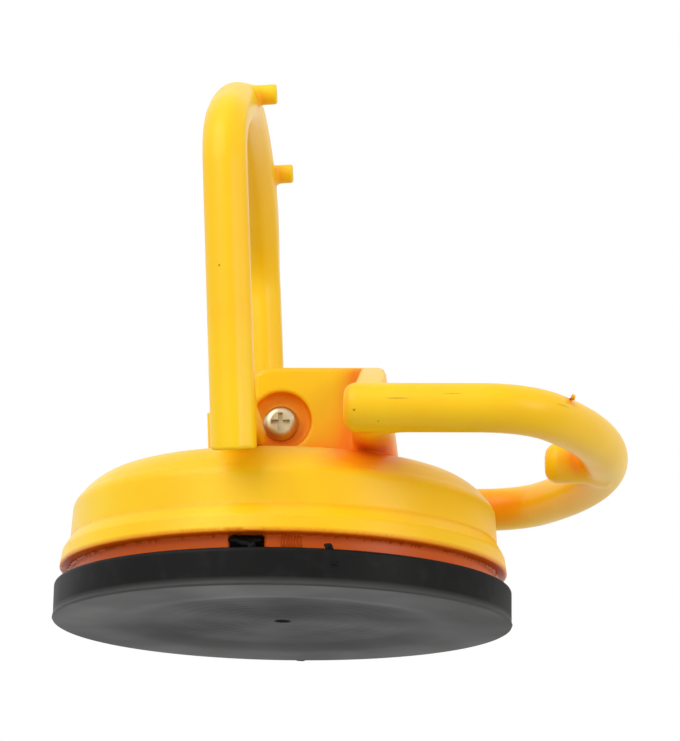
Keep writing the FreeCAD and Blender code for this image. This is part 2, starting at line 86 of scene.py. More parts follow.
def insetCorners(corners, depth):
    # an outline whose sides all lie a depth further in, for an outline drawn anticlockwise
    points = np.array(corners)
    ahead = np.roll(points, -1, axis=0) - points
    ahead /= np.hypot(ahead[:, 0], ahead[:, 1])[:, None]
    inward = np.stack([-ahead[:, 1], ahead[:, 0]], axis=1)
    before = np.roll(inward, 1, axis=0)
    share = 1 + (inward * before).sum(axis=1, keepdims=True)
    return [tuple(p) for p in points + (inward + before) * depth / share]


def arcPoints(centre, radius, start, stop, count):
    # points on a circle between two angles in degrees
    turn = np.radians(np.linspace(start, stop, count))
    return [(centre[0] + radius * math.cos(t), centre[1] + radius * math.sin(t)) for t in turn]


def arcBetween(first, last, radius, count):
    # points from first to last on an arc whose centre is left of the way between them
    first, last = np.array(first), np.array(last)
    chord = last - first
    length = math.hypot(*chord)
    left = np.array((-chord[1], chord[0])) / length
    centre = (first + last) / 2 + left * math.sqrt(radius ** 2 - length ** 2 / 4)
    start = math.degrees(math.atan2(*(first - centre)[::-1]))
    stop = math.degrees(math.atan2(*(last - centre)[::-1]))
    if stop < start:
        stop += 360
    return arcPoints(centre, radius, start, stop, count)


def ringDistance(x, y, ring):
    # distance in plan from a ring's centre line: a straight back, rounded corners, an end of
    # three arcs that run into each other, and straight sides that run on past the back
    y = np.abs(y)
    half, corner, side = ring["half"], ring["corner"], ring["endRound"]
    bend, reach = ring["bendStart"], ring["endReach"]
    inner = half - corner
    turn = ring["back"] + corner
    middle = (reach ** 2 + half ** 2 - 2 * half * side) / (2 * (reach - side))
    endX = bend + reach - middle
    awayX = (bend - endX) / (middle - side)
    awayY = (half - side) / (middle - side)
    best = np.hypot(x - ring["back"], np.maximum(y - inner, 0.0))
    best = np.minimum(best, np.hypot(np.maximum(x - bend, 0.0), y - half))
    dx, dy = x - turn, y - inner
    arc = np.abs(np.hypot(dx, dy) - corner)
    best = np.minimum(best, np.where((dx < 0) & (dy > 0), arc, 1e3))
    dx, dy = x - bend, y - (half - side)
    arc = np.abs(np.hypot(dx, dy) - side)
    best = np.minimum(best, np.where((dx > 0) & (awayX * dy > awayY * dx), arc, 1e3))
    dx = x - endX
    arc = np.abs(np.hypot(dx, y) - middle)
    return np.minimum(best, np.where((dx > 0) & (awayX * y <= awayY * dx), arc, 1e3))


def wrapShape(distance, low, high, step):
    # Surface nets: one corner in each grid cell that the surface crosses, at the mean of the
    # crossings on the cell's edges, and one face over each crossed edge. Each corner then
    # slides along the gradient onto the surface.
    axes = [np.arange(a, b + step, step) for a, b in zip(low, high)]
    shape = tuple(len(axis) for axis in axes)
    x, y, z = np.meshgrid(*axes, indexing="ij", sparse=True)
    field = np.broadcast_to(distance(x, y, z), shape)
    cells = tuple(n - 1 for n in shape)
    size = cells[0] * cells[1] * cells[2]
    sums = np.zeros((3, size))
    count = np.zeros(size)
    crossings = []
    for axis in range(3):
        second, third = (axis + 1) % 3, (axis + 2) % 3
        first = np.take(field, range(shape[axis] - 1), axis)
        last = np.take(field, range(1, shape[axis]), axis)
        place = np.stack(np.nonzero((first < 0) != (last < 0)), axis=1)
        keep = np.ones(len(place), bool)
        for other in (second, third):
            keep &= (place[:, other] > 0) & (place[:, other] < cells[other])
        place = place[keep]
        v0, v1 = first[tuple(place.T)], last[tuple(place.T)]
        point = place.astype(float)
        point[:, axis] += v0 / (v0 - v1)
        around = []
        for back, down in ((1, 1), (0, 1), (0, 0), (1, 0)):
            cell = place.copy()
            cell[:, second] -= back
            cell[:, third] -= down
            flat = np.ravel_multi_index(tuple(cell.T), cells)
            count += np.bincount(flat, minlength=size)
            for number in range(3):
                sums[number] += np.bincount(flat, point[:, number], size)
            around.append(flat)
        around = np.stack(around, axis=1)
        crossings.append(np.where((v0 < 0)[:, None], around, around[:, ::-1]))
    used = np.nonzero(count)[0]
    index = np.full(size, -1)
    index[used] = np.arange(len(used))
    faces = index[np.concatenate(crossings)]
    points = [axes[k][0] + sums[k][used] / count[used] * step for k in range(3)]
    for _ in range(2):
        value, slope = valueAndSlope(distance, points)
        steep = np.maximum(sum(s * s for s in slope), 0.25)
        shift = [np.clip(value * s / steep, -step / 2, step / 2) for s in slope]
        points = [p - move for p, move in zip(points, shift)]
    _, slope = valueAndSlope(distance, points)
    length = np.maximum(np.sqrt(sum(s * s for s in slope)), 1e-6)
    normals = np.stack([s / length for s in slope], axis=1)
    return np.stack(points, axis=1), faces, normals


def valueAndSlope(distance, points):
    # the distance at each point, and how fast it grows along each axis
    gap = 0.03
    slope = []
    for axis in range(3):
        ahead = list(points)
        behind = list(points)
        ahead[axis] = points[axis] + gap
        behind[axis] = points[axis] - gap
        slope.append((distance(*ahead) - distance(*behind)) / (2 * gap))
    return distance(*points), slope


def makePiece(name, points, faces, body, stands, mat, normals=None):
    # points in millimetres; faces as rows of four corners
    mesh = bpy.data.meshes.new(name)
    mesh.vertices.add(len(points))
    mesh.vertices.foreach_set("co", (np.asarray(points) * mm).ravel())
    mesh.loops.add(faces.size)
    mesh.loops.foreach_set("vertex_index", faces.ravel().astype(np.int32))
    mesh.polygons.add(len(faces))
    starts = np.arange(0, faces.size, faces.shape[1], dtype=np.int32)
    mesh.polygons.foreach_set("loop_start", starts)
    mesh.polygons.foreach_set("use_smooth", np.ones(len(faces), bool))
    mesh.update(calc_edges=True)
    if normals is None:
        shape = bmesh.new()
        shape.from_mesh(mesh)
        bmesh.ops.remove_doubles(shape, verts=shape.verts, dist=1e-7)
        shape.to_mesh(mesh)
        shape.free()
    mesh.validate()
    if normals is not None:
        mesh.normals_split_custom_set_from_vertices(normals.tolist())
    mesh.materials.append(mat)
    piece = bpy.data.objects.new(name, mesh)
    bpy.context.scene.collection.objects.link(piece)
    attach(piece, body)
    if stands:
        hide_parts(*stands)
    return piece


def paintedShadeDepth(distance, points, normals, reaches):
    # how shut in each point is, for painted shade: at steps out along its normal and along ways leant
    # off it by each axis, the share by which the nearest surface is closer than open air would leave
    # it
    ways = [(normals, 1.0)]
    for lean in np.concatenate([np.eye(3), -np.eye(3)]) * 0.95:
        way = normals + lean
        way /= np.maximum(np.sqrt((way * way).sum(axis=1, keepdims=True)), 0.2)
        ways.append((way, np.clip((way * normals).sum(axis=1), 0.0, 1.0)))
    shut = np.zeros(len(points))
    weight = np.zeros(len(points))
    for reach in reaches:
        for way, rise in ways:
            free = np.maximum(reach * rise, 1e-3)
            ahead = (points + way * reach).T
            shut += rise * np.clip(1 - distance(*ahead) / free, 0.0, 1.0)
            weight += rise
    return shut / weight


def addPaintedShade(piece, values):
    # a number for each corner point of a piece, read by its material as painted shade
    paintedShade = piece.data.attributes.new("paintedCavityShade", "FLOAT", "POINT")
    paintedShade.data.foreach_set("value", values.astype(np.float32))


def turnedFaces(rings, count):
    # faces between closed rings of points, each ring joined to the next
    ring = np.arange(rings - 1)[:, None] * count
    step = np.arange(count)[None, :]
    after = (step + 1) % count
    return np.stack([ring + step, ring + after, ring + count + after, ring + count + step],
                    axis=2).reshape(-1, 4)


# Housing: dome, tower, cross wall and fixed ring as one moulding.

housingLook = {
    "step": 0.85, "low": (-60.5, -66.5, 8.0), "high": (98.0, 66.5, 64.0),
    "pressRadius": 54.5, "pressInner": 44.0, "pressBottom": 9.2, "pressTop": 13.0,
    "flange": 57.6, "brim": (56.9, 17.4), "crease": (55.0, 20.6), "waist": (54.6, 27.8),
    "shoulderFoot": (53.2, 30.9), "turnRound": 4.13,
    "shoulder": (46.4, 36.5), "shoulderRound": 16.0, "crown": 39.3, "wallThick": 3.6,
    "sleeveFoot": 20.0, "sleeveRadius": 14.1, "boreRadius": 10.1, "boreRound": 0.5,
    "pivotHeight": 48.5, "pivotBore": 2.6, "pivotRound": 0.4,
    "towerLeft": -7.0, "towerHalf": 22.0, "towerRise": 14.4, "towerFoot": 33.3,
    "bevel": (25.9, 27.4, 58.6), "edgeRound": 1.4,
    "slotReach": 18.3, "slotHalf": 12.5, "slotInner": -9.0, "slotFloor": 30.5, "slotRound": 0.8,
    "recessRadius": 7.5, "recessLift": 0.25, "recessSeat": 19.0, "recessBowl": 1.6,
    "recessRound": 1.0, "nutFlats": 8.2, "nutSeat": 17.7, "nutRound": 0.5,
    "wallLeft": 20.4, "wallHalf": 61.0, "wallFoot": 39.5, "wallRound": 3.0, "roofRound": 0.9,
    "ring": {"back": 23.6, "corner": 10.0, "half": 59.2, "bendStart": 50.54,
             "endReach": 32.2, "endRound": 20.6},
    "ringHeight": 42.95, "barRadius": 5.91, "elbow": 17.9, "elbowRound": 3.4, "lipRound": 0.6,
    "nubTip": 67.3, "nubRadius": 5.3, "nubRound": 3.5,
    "notch": (-9.2, -0.8), "notchDepth": 4.0, "notchRound": 0.5,
    "pip": (73.0, -52.0, 47.4), "pipRadius": 0.8, "pipFillet": 1.0,
    "wallFillet": 1.2, "domeFillet": 1.8, "ringFillet": 1.1, "nubFillet": 2.2,
    # painted shade: reaches out from the surface, and extra painted shade on the ring's inner sides
    "paintedShadeReach": (2.0, 5.0, 9.0), "innerPaintedShade": 0.32, "innerStart": (22.0, 35.0),
    "innerFade": (20.0, 3.0),
}


def domeDistance(r, z):
    # a turned shell, by radius and height: its outer section without its hollow; the crown
    # falls off from the middle as the square of the radius
    look = housingLook
    thick = look["wallThick"]
    shoulder = arcBetween(look["waist"], look["shoulderFoot"], look["turnRound"], 6)
    shoulder += arcBetween(look["shoulderFoot"], look["shoulder"], look["shoulderRound"], 10)[1:]
    crown = [(look["shoulder"][0] * s, look["crown"] - (look["crown"] - look["shoulder"][1]) * s ** 2)
             for s in (0.8, 0.6, 0.4, 0.2)]
    outer = [(-5.0, look["pressBottom"]), (look["pressRadius"], look["pressBottom"]),
             (look["pressRadius"], look["pressTop"]), (look["flange"], look["pressTop"]),
             look["brim"], look["crease"]] + shoulder + crown + [(-5.0, look["crown"])]
    hall = look["waist"][0] - thick
    ceiling = look["shoulder"][1] - thick
    bend = look["shoulderRound"] - thick
    corner = arcPoints((hall - bend, ceiling - bend), bend, 0, 90, 6)
    hollow = [(-5.0, 0.0), (look["pressInner"], 0.0), (look["pressInner"], look["pressTop"]),
              (hall, look["pressTop"])] + corner
    hollow += [(look["sleeveRadius"], ceiling), (look["sleeveRadius"], look["sleeveFoot"]),
               (-5.0, look["sleeveFoot"])]
    soft = look["lipRound"]
    shell = outlineDistance(r, z, insetCorners(outer, soft)) - soft
    return np.maximum(shell, -outlineDistance(r, z, hollow))


def towerDistance(x, y, z):
    # the tower and the cross wall, joined, then both trimmed by the crown, the right face and
    # its bevel
    look = housingLook
    side = np.abs(y)
    edge = look["edgeRound"]
    tower = softMeet(side - look["towerHalf"], look["towerLeft"] - x, edge)
    tower = np.maximum(tower, look["towerFoot"] - z)
    top = look["pivotHeight"] + look["towerRise"]
    run = look["ring"]["half"] - look["towerHalf"]
    fall = top - look["ringHeight"] - look["barRadius"]
    slope = ((side - look["towerHalf"]) * fall + (z - top) * run) / math.hypot(run, fall)
    wall = softMeet(look["wallLeft"] - x, side - look["wallHalf"], look["wallRound"])
    wall = softMeet(wall, slope, look["roofRound"])
    wall = np.maximum(wall, look["wallFoot"] - z)
    block = softJoin(tower, wall, look["wallFillet"])
    above = np.maximum(z - look["pivotHeight"], 0.0)
    crown = np.hypot(np.minimum(x, 0.0), above) - look["towerRise"]
    block = softMeet(block, crown, edge)
    bevelStart, right, bevelFoot = look["bevel"]
    lean = math.hypot(top - bevelFoot, right - bevelStart)
    bevel = ((x - right) * (top - bevelFoot) + (z - bevelFoot) * (right - bevelStart)) / lean
    return softMeet(softMeet(block, x - right, edge), bevel, edge)


def housingDistance(x, y, z):
    # dome, tower and ring joined with fillets, then the slot, bores, recesses and notch cut;
    # the ring is a bar along its centre line with a nub and a pip on it
    look = housingLook
    up = z - look["pivotHeight"]
    radius = np.hypot(x, y)
    body = softJoin(domeDistance(radius, z), towerDistance(x, y, z), look["domeFillet"])
    level = z - look["ringHeight"]
    bar = np.hypot(ringDistance(x, y, look["ring"]), level) - look["barRadius"]
    bar = softMeet(bar, look["elbow"] - x, look["elbowRound"])
    soft = look["nubRound"]
    nub = np.hypot(np.maximum(look["nubTip"] + soft - x, 0.0),
                   np.maximum(np.hypot(y, level) - look["nubRadius"] + soft, 0.0)) - soft
    reach = look["ring"]["bendStart"] + look["ring"]["endReach"]
    bar = softJoin(bar, np.maximum(nub, x - reach), look["nubFillet"])
    px, py, pz = look["pip"]
    pip = np.sqrt((x - px) ** 2 + (y - py) ** 2 + (z - pz) ** 2) - look["pipRadius"]
    bar = softJoin(bar, pip, look["pipFillet"])
    body = softJoin(body, bar, look["ringFillet"])
    slot = boxDistance(np.abs(x), np.abs(y), (look["slotInner"], look["slotInner"]),
                       (look["slotReach"], look["slotHalf"]))
    body = softCut(body, np.maximum(slot, look["slotFloor"] - z), look["slotRound"])
    bore = np.maximum(radius - look["boreRadius"], up)
    body = softCut(body, bore, look["boreRound"])
    body = softCut(body, np.hypot(x, up) - look["pivotBore"], look["pivotRound"])
    wide = np.hypot(x - look["recessLift"], up - look["recessLift"]) - look["recessRadius"]
    recess = softMeet(wide, y + look["recessSeat"], look["recessBowl"])
    body = softCut(body, recess, look["recessRound"])
    slanted = np.abs(x) * 0.866 + np.abs(up) * 0.5  # across the flats that lean by 30 degrees
    hexagon = np.maximum(np.abs(up), slanted) - look["nutFlats"] / 2
    body = softCut(body, np.maximum(hexagon, look["nutSeat"] - y), look["nutRound"])
    notch = boxDistance(x, z, (look["notch"][0], 0.0), (look["notch"][1], look["pressTop"]))
    notch = np.maximum(notch, y + look["pressRadius"] - look["notchDepth"])
    return softCut(body, notch, look["notchRound"])


# Lever: a ring with a flattened front, bridged behind the tower, with its hub, cams and pegs.

leverLook = {
    "step": 0.62, "low": (-22.0, -66.5, 30.0), "high": (15.5, 66.5, 144.0),
    "lean": 3.15, "pivotHeight": 48.5,
    "ring": {"back": -5.4, "corner": 10.0, "half": 59.2, "bendStart": 55.5,
             "endReach": 32.5, "endRound": 20.6},
    "level": 8.7, "barRadius": 5.8, "flat": 5.2, "flatRound": 0.9,
    "facetAngle": 52.0, "facetReach": 5.35, "facetRound": 0.5,
    "foot": (-13.9, 53.4, 0.263), "footRound": 1.0,
    "underside": -8.75, "undersideHalf": 45.0, "undersideRound": 0.8,
    "endStart": 62.0, "endRun": 24.0, "endShift": 1.1, "endFade": 0.6,
    "bridge": (-8.4, 2.4), "bridgeTop": 18.2, "bridgeUnder": 14.7, "bridgeHalf": 26.8,
    "bridgeRound": 1.6, "bridgeFillet": 2.0, "gapHalf": 22.8, "gapEnd": 30.0, "gapRound": 0.8,
    "hubHalf": 12.0, "hubInner": 7.0, "hubRadius": 9.4, "hubWeb": 7.0, "hubRound": 0.8,
    "hubFillet": 1.2, "innerRound": 0.5, "webDrop": 1.5, "webFillet": 1.5,
    "throw": 91.0, "camOpen": 13.0, "camLift": 4.0, "camTrack": 2.25, "camLobe": 4.35,
    "bore": 2.6, "boreRound": 0.3,
    "pegRadius": 2.6, "pegPlace": 84.5, "pegHalf": 31.5, "pegLength": 5.7, "pegRound": 0.7,
    "pegFillet": 1.6,
    # painted shade: reaches out from the surface, and the share of it kept
    "paintedShadeReach": (2.5, 6.0), "paintedShadeShare": 0.5,
}


def camArc():
    # end points, centre and radius of the arc through three points of the lift curve: the
    # centre is where the three are equally far away
    look = leverLook
    points = []
    for share in (0.0, 0.5, 1.0):
        turn = math.radians(90 + look["lean"] - share * look["throw"])
        reach = look["camOpen"] - share * look["camLift"]
        points.append((-reach * math.sin(turn), -reach * math.cos(turn)))
    (ax, az), (bx, bz), (cx, cz) = points
    aa, bb, cc = (px * px + pz * pz for px, pz in points)
    twice = 2 * (ax * (bz - cz) + bx * (cz - az) + cx * (az - bz))
    centre = ((aa * (bz - cz) + bb * (cz - az) + cc * (az - bz)) / twice,
              (aa * (cx - bx) + bb * (ax - cx) + cc * (bx - ax)) / twice)
    return points[0], points[2], centre, math.hypot(ax - centre[0], az - centre[1])


def camDistance(x, z):
    # distance from the cam's centre line: from its arc beside it, from its ends past them
    first, last, centre, radius = camArc()
    ends = np.minimum(np.hypot(x - first[0], z - first[1]), np.hypot(x - last[0], z - last[1]))
    middle = ((first[0] + last[0]) / 2 - centre[0], (first[1] + last[1]) / 2 - centre[1])
    length = math.hypot(*middle)
    dx, dz = x - centre[0], z - centre[1]
    facing = (dx * middle[0] + dz * middle[1]) / length
    beside = facing > length * np.hypot(dx, dz) / radius
    return np.where(beside, np.abs(np.hypot(dx, dz) - radius), ends)


def leverDistance(worldX, y, worldZ):
    # A bar along the ring's centre line, with a facet and a flat, and cut off at its feet and
    # underside; the bridge and the hub with its cam lobes are joined to it, the gap, cam slots
    # and bore are cut, and the pegs joined. It is worked out in the lever's lying position and
    # turned about the pivot.
    look = leverLook
    turn = math.radians(-90 - look["lean"])
    up = worldZ - look["pivotHeight"]
    x = worldX * math.cos(turn) - up * math.sin(turn)
    z = worldX * math.sin(turn) + up * math.cos(turn)
    side = np.abs(y)
    across = ringDistance(x, y, look["ring"])
    end = np.clip((x - look["endStart"]) / look["endRun"], 0.0, 1.0)
    end = end * end * (3 - 2 * end)
    level = z - look["level"] + end * look["endShift"]
    bar = np.hypot(across, level) - look["barRadius"]
    facet = math.radians(look["facetAngle"])
    bevel = across * math.sin(facet) - level * math.cos(facet) - look["facetReach"]
    fade = end * look["endFade"]
    bar = softMeet(bar, bevel - fade, look["facetRound"])
    bar = softMeet(bar, -level - look["flat"] - fade, look["flatRound"])
    foot, footSide, slant = look["foot"]
    bar = softMeet(bar, foot - (side - footSide) * slant - x, look["footRound"])
    over = np.maximum(x - look["underside"], side - look["undersideHalf"])
    bar = softCut(bar, over, look["undersideRound"])
    left, right = look["bridge"]
    plate = boxDistance(x, z, (left, look["level"]), (right, look["bridgeTop"]))
    plate = softMeet(plate, side - look["bridgeHalf"], look["bridgeRound"])
    body = softJoin(bar, plate, look["bridgeFillet"])
    gap = np.maximum(side - look["gapHalf"], z - look["bridgeUnder"])
    body = softCut(body, np.maximum(gap, x - look["gapEnd"]), look["gapRound"])
    web = boxDistance(x, z, (left, 0.0), (right, look["bridgeTop"] - look["webDrop"]))
    cam = camDistance(x, z)
    hub = np.minimum(np.hypot(x, z) - look["hubRadius"], cam - look["camLobe"])
    hub = softMeet(softJoin(web, hub, look["webFillet"]), side - look["hubHalf"], look["hubRound"])
    body = softJoin(body, hub, look["hubFillet"])
    body = softCut(body, cam - look["camTrack"], look["boreRound"])
    inner = np.maximum(side - look["hubInner"], z - look["hubWeb"])
    body = softCut(body, np.maximum(inner, x - look["gapEnd"]), look["innerRound"])
    body = softCut(body, np.hypot(x, z) - look["bore"], look["boreRound"])
    tip = look["level"] - look["barRadius"] - look["pegLength"]
    post = np.hypot(x - look["pegPlace"], side - look["pegHalf"]) - look["pegRadius"]
    reach = np.maximum(tip - z, z - look["level"])
    peg = softMeet(post, reach, look["pegRound"])
    return softJoin(body, peg, look["pegFillet"])


# Rubber cup: a turned pad with a flash lip, moulding rings and a dimple under it, and a pocket
# for the backing plate in its top.

cupLook = {
    "radius": 58.75, "height": 9.2, "land": 14.0, "slope": 12.0, "hollow": 1.2,
    "dimpleRadius": 2.2, "dimpleDepth": 1.0, "pocket": 36.3, "seat": 6.2,
    "flash": 0.22, "flashRise": 0.5, "ringRise": 0.02, "count": 480,
}


def makeCup(mat):
    # A section of points turned about the axis: the underside rises from its land as half a
    # cosine wave, and the flash lip at the foot of the edge varies with the angle as a sum of
    # sines.
    look = cupLook
    rim = look["radius"] - look["land"]
    edge = look["radius"]
    top = look["height"]
    under = [(0.0, look["hollow"] + look["dimpleDepth"])]
    under += [(look["dimpleRadius"] * s, look["hollow"] + look["dimpleDepth"] * (1 - s ** 4))
              for s in (0.35, 0.6, 0.8, 0.92, 1.0)]
    start = rim - look["slope"]
    under += [(r, look["hollow"] + look["ringRise"] * math.sin(r * 1.9)) for r in
              np.linspace(look["dimpleRadius"] + 0.6, start, 46)]
    under += [(start + look["slope"] * s, look["hollow"] * (0.5 + 0.5 * math.cos(math.pi * s)))
              for s in np.linspace(0.1, 1.0, 10)]
    under += [(r, 0.0) for r in np.linspace(rim + 2, edge - 0.8, 6)]
    lip = [(edge - 0.25, 0.02), (edge, 0.16), (edge + look["flash"], look["flashRise"]),
           (edge - 0.02, look["flashRise"] + 0.22), (edge - 0.06, 1.4)]
    wall = [(edge - 0.06, z) for z in np.linspace(2.4, top - 1.3, 6)]
    wall += arcPoints((edge - 0.96, top - 0.9), 0.9, 0, 90, 6)
    pocket = [(edge - 4, top), (edge - 12, top), (look["pocket"] + 0.4, top),
              (look["pocket"], top - 0.4), (look["pocket"], look["seat"] + 0.3),
              (look["pocket"] - 0.3, look["seat"]), (20.0, look["seat"]), (0.0, look["seat"])]
    section = np.array(under + lip + wall + pocket)
    turn = np.linspace(0, 2 * math.pi, look["count"], endpoint=False)
    ragged = 0.55 + 0.25 * np.sin(turn * 23 + 1) + 0.2 * np.sin(turn * 61) * np.sin(turn * 5)
    reach = np.repeat(section[:, :1], look["count"], axis=1)
    lipRow = len(under) + 2
    reach[lipRow] = edge + look["flash"] * ragged
    height = np.repeat(section[:, 1:], look["count"], axis=1)
    height[lipRow] += 0.2 * np.sin(turn * 17)
    points = np.stack([reach * np.cos(turn), reach * np.sin(turn), height], axis=2)
    faces = turnedFaces(len(section), look["count"])
    return makePiece("rubberCup", points.reshape(-1, 3), faces, "base",
                     ("cup_pad",), mat)


# Materials

def newMaterial(name):
    # a material with no nodes yet
    mat = bpy.data.materials.new(name)
    mat.use_nodes = True
    mat.node_tree.nodes.clear()
    return mat, mat.node_tree.nodes, mat.node_tree.links


def newShader(name):
    # a material with one principled shader on its output
    mat, nodes, links = newMaterial(name)
    out = addNode(nodes, "ShaderNodeOutputMaterial", 700)
    shader = addNode(nodes, "ShaderNodeBsdfPrincipled", 400)
    links.new(shader.outputs["BSDF"], out.inputs["Surface"])
    return mat, nodes, links, shader


def addNode(nodes, kind, x=0, y=0, **values):
    # a node at a place in the editor, with properties or inputs set by name
    node = nodes.new(kind)
    node.location = (x, y)
    for key, value in values.items():
        if key in node.bl_rna.properties:
            setattr(node, key, value)
        else:
            node.inputs[key.replace("_", " ")].default_value = value
    return node


def addRange(nodes, links, source, low, high, toLow, toHigh, x, y):
    # a number carried from one range to another
    ranged = addNode(nodes, "ShaderNodeMapRange", x, y)
    for name, value in (("From Min", low), ("From Max", high), ("To Min", toLow), ("To Max", toHigh)):
        ranged.inputs[name].default_value = value
    links.new(source, ranged.inputs["Value"])
    return ranged.outputs["Result"]


def addTint(nodes, links, under, over, share, x, y):
    # one colour over another by a share; a colour is plain values or comes from a node
    mix = addNode(nodes, "ShaderNodeMix", x, y, data_type="RGBA")
    for name, color in (("A", under), ("B", over)):
        if isinstance(color, tuple):
            mix.inputs[name].default_value = color
        else:
            links.new(color, mix.inputs[name])
    links.new(share, mix.inputs["Factor"])
    return mix.outputs["Result"]


def addBumps(nodes, links, shader, layers):
    # bumps on bumps: each layer is a height, a strength and a depth in metres
    before = None
    for number, (height, strength, depth) in enumerate(layers):
        bump = addNode(nodes, "ShaderNodeBump", 0, -300 - 200 * number, Strength=strength,
                       Distance=depth)
        links.new(height, bump.inputs["Height"])
        if before is not None:
            links.new(before.outputs["Normal"], bump.inputs["Normal"])
        before = bump
    links.new(before.outputs["Normal"], shader.inputs["Normal"])


plasticLook = {
    "color": (0.985, 0.625, 0.0095, 1.0),
    "deepColor": (0.97, 0.55, 0.008, 1.0),
    # painted shade: orange where the surface is shut in, then a deeper orange where it is deeply shut
    # in
    "paintedShadeColor": (0.95, 0.31, 0.0045, 1.0),
    "shut": (0.06, 0.36),
    "deepPaintedShadeColor": (0.85, 0.19, 0.003, 1.0),
    "deepShut": (0.48, 0.85),
    # painted shade: burnt orange on the band under the flange, fading out up over the lip
    "bandShadeColor": (0.74, 0.115, 0.001, 1.0),
    "bandShadeHeight": (0.0126, 0.0146),
    "dirt": (0.20, 0.085, 0.012, 1.0),
    "roughness": (0.27, 0.40),
    "glow": 0.22,
    "glowReach": (1.0, 0.32, 0.04),
    "glowScale": 0.0035,
    "specular": 0.22,
    "flowScale": 22.0,
    "grainScale": 2600.0,
    "scuffScale": 3.0,
    "scuffStretch": (9.0, 60.0, 300.0),
    "scuffTurn": (0.3, 0.5, 0.2),
    "scuffRoughness": 0.10,
}

# dust and scuffs: a place and a size along each axis in millimetres, and a strength
marks = [
    ((-12.3, -64.6, 76.9), (0.30, 2.0, 0.34), 0.8),
    ((20.7, -64.8, 41.0), (0.34, 2.0, 0.30), 0.8),
    ((30.8, -63.8, 43.8), (3.2, 2.0, 0.22), 0.7),
    ((26.4, -64.6, 38.6), (0.30, 2.0, 0.26), 0.7),
    ((11.1, -50.8, 28.6), (0.32, 2.0, 0.30), 0.8),
    ((69.0, -53.0, 44.4), (2.6, 4.0, 0.30), 0.9),
    ((71.2, -50.0, 45.6), (1.6, 4.0, 0.24), 0.9),
    ((44.0, -64.0, 45.0), (2.4, 2.0, 0.16), 0.5),
]


def addMarks(nodes, links, coords, rough):
    # the strongest of the marks at a point: each fades over its edge, broken up by a noise
    total = None
    for number, (place, size, strength) in enumerate(marks):
        shift = addNode(nodes, "ShaderNodeVectorMath", -900, -900 - 60 * number,
                        operation="SUBTRACT")
        shift.inputs[1].default_value = [v * mm for v in place]
        share = addNode(nodes, "ShaderNodeVectorMath", -750, -900 - 60 * number,
                        operation="DIVIDE")
        share.inputs[1].default_value = [v * mm for v in size]
        length = addNode(nodes, "ShaderNodeVectorMath", -600, -900 - 60 * number,
                         operation="LENGTH")
        links.new(coords, shift.inputs[0])
        links.new(shift.outputs["Vector"], share.inputs[0])
        links.new(share.outputs["Vector"], length.inputs[0])
        part = addRange(nodes, links, length.outputs["Value"], 0.55, 1.25, strength, 0.0, -450,
                        -900 - 60 * number)
        if total is not None:
            most = addNode(nodes, "ShaderNodeMath", -300, -900 - 60 * number, operation="MAXIMUM")
            links.new(total, most.inputs[0])
            links.new(part, most.inputs[1])
            part = most.outputs[0]
        total = part
    broken = addNode(nodes, "ShaderNodeMath", -150, -900, operation="MULTIPLY")
    links.new(total, broken.inputs[0])
    links.new(addRange(nodes, links, rough, 0.36, 0.50, 0.35, 1.0, -300, -800), broken.inputs[1])
    return broken.outputs[0]


